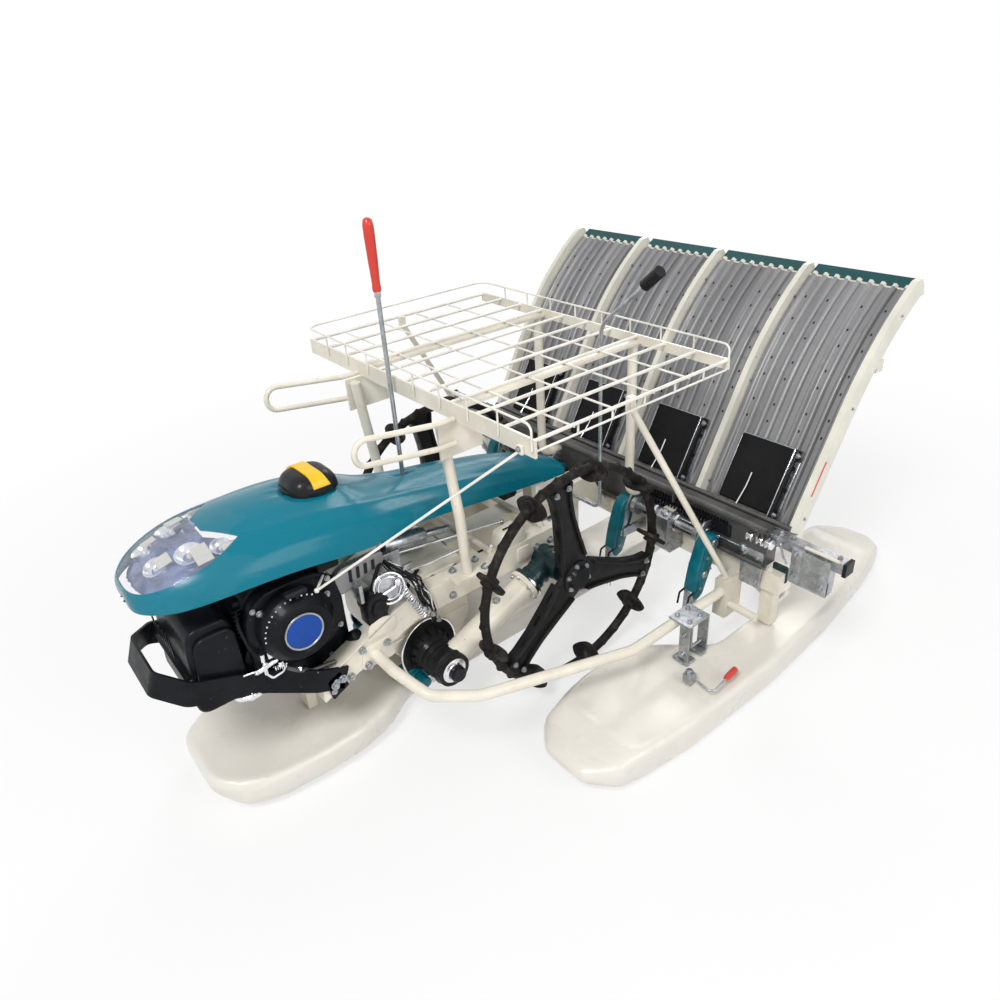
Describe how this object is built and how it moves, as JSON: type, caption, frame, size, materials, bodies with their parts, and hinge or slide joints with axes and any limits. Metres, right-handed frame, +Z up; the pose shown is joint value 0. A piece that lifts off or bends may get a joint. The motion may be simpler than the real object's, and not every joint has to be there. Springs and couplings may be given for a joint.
{
  "type": "walk-behind rice transplanter",
  "caption": "Walk-behind rice transplanter on lugged wheels and floats, with a teal bonnet, a wire seedling rack and a sloped, laterally shifting seedling tray.",
  "frame": {"origin": "on the ground under the middle of the machine's length and width", "axes": "+X the machine's left, -Y its front, +Z up"},
  "size_m": [1.62, 2.3866, 1.225],
  "materials": {
    "dark_green_paint": "gloss",
    "teal_hood": "gloss",
    "yellow_plastic": "gloss",
    "float_shell": "satin",
    "zinc_steel": "satin",
    "white_plastic": "satin",
    "black_plastic": "matte",
    "black_paint": "semi-gloss",
    "black_rubber": "matte",
    "cream_paint": "gloss",
    "lamp_lens": "clear",
    "wheel_rubber": "matte",
    "wheel_casting": "satin",
    "teal_paint": "gloss",
    "white_wire": "gloss",
    "red_plastic": "gloss",
    "blue_badge": "gloss",
    "teal_plastic": "gloss",
    "tray_steel": "satin",
    "rail_paint": "satin",
    "tray_rim_paint": "gloss"
  },
  "bodies": {
    "machine": {"axle_housings": "dark_green_paint", "bonnet_front": "teal_hood", "bonnet_rear": "teal_hood", "cap_grip": "yellow_plastic", "center_float": "float_shell", "control_levers": "zinc_steel", "control_panel": "white_plastic", "end_boxes": "zinc_steel", "end_caps": "black_plastic", "engine_block": "black_paint", "float_hangers": "zinc_steel", "float_links": "cream_paint", "front_bumper": "black_paint", "guard_tubes": "cream_paint", "hand_grips": "black_rubber", "handlebars": "cream_paint", "headlamp_lens": "lamp_lens", "left_float": "float_shell", "main_frame": "cream_paint", "muffler": "black_paint", "planter_beam": "cream_paint", "planting_arms": "teal_paint", "planting_cases": "zinc_steel", "planting_rockers": "zinc_steel", "rack_channels": "cream_paint", "rack_fence": "white_wire", "rack_front_posts": "cream_paint", "rack_grid": "white_wire", "rack_loops": "cream_paint", "rack_rear_posts": "cream_paint", "rack_stay": "white_wire", "rack_struts": "cream_paint", "recoil_starter": "black_plastic", "right_float": "float_shell", "shift_grip": "red_plastic", "side_knob": "black_plastic", "side_markers": "zinc_steel", "starter_badge": "blue_badge", "swing_cases": "cream_paint", "tank_cap": "black_plastic", "transmission_case": "dark_green_paint", "tray_rail": "rail_paint"},
    "left_wheel": {"left_wheel_ring": "wheel_rubber", "left_wheel_spider": "wheel_casting"},
    "right_wheel": {"right_wheel_ring": "wheel_rubber", "right_wheel_spider": "wheel_casting"},
    "tray": {"tray_panels": "tray_steel", "tray_rims": "tray_rim_paint", "feed_belts": "black_rubber", "tray_end_strips": "teal_plastic", "seedling_rods": "zinc_steel"}
  },
  "joints": [
    {"name": "left_wheel_spin", "type": "hinge", "parent": "machine", "child": "left_wheel", "pos_m": [0.3, -0.189, 0.322], "axis": [1, 0, 0], "continuous": true},
    {"name": "right_wheel_spin", "type": "hinge", "parent": "machine", "child": "right_wheel", "pos_m": [-0.3, -0.189, 0.322], "axis": [1, 0, 0], "continuous": true},
    {"name": "tray_slide", "type": "slide", "parent": "machine", "child": "tray", "axis": [1, 0, 0], "range_m": [-0.171, 0.109]}
  ]
}
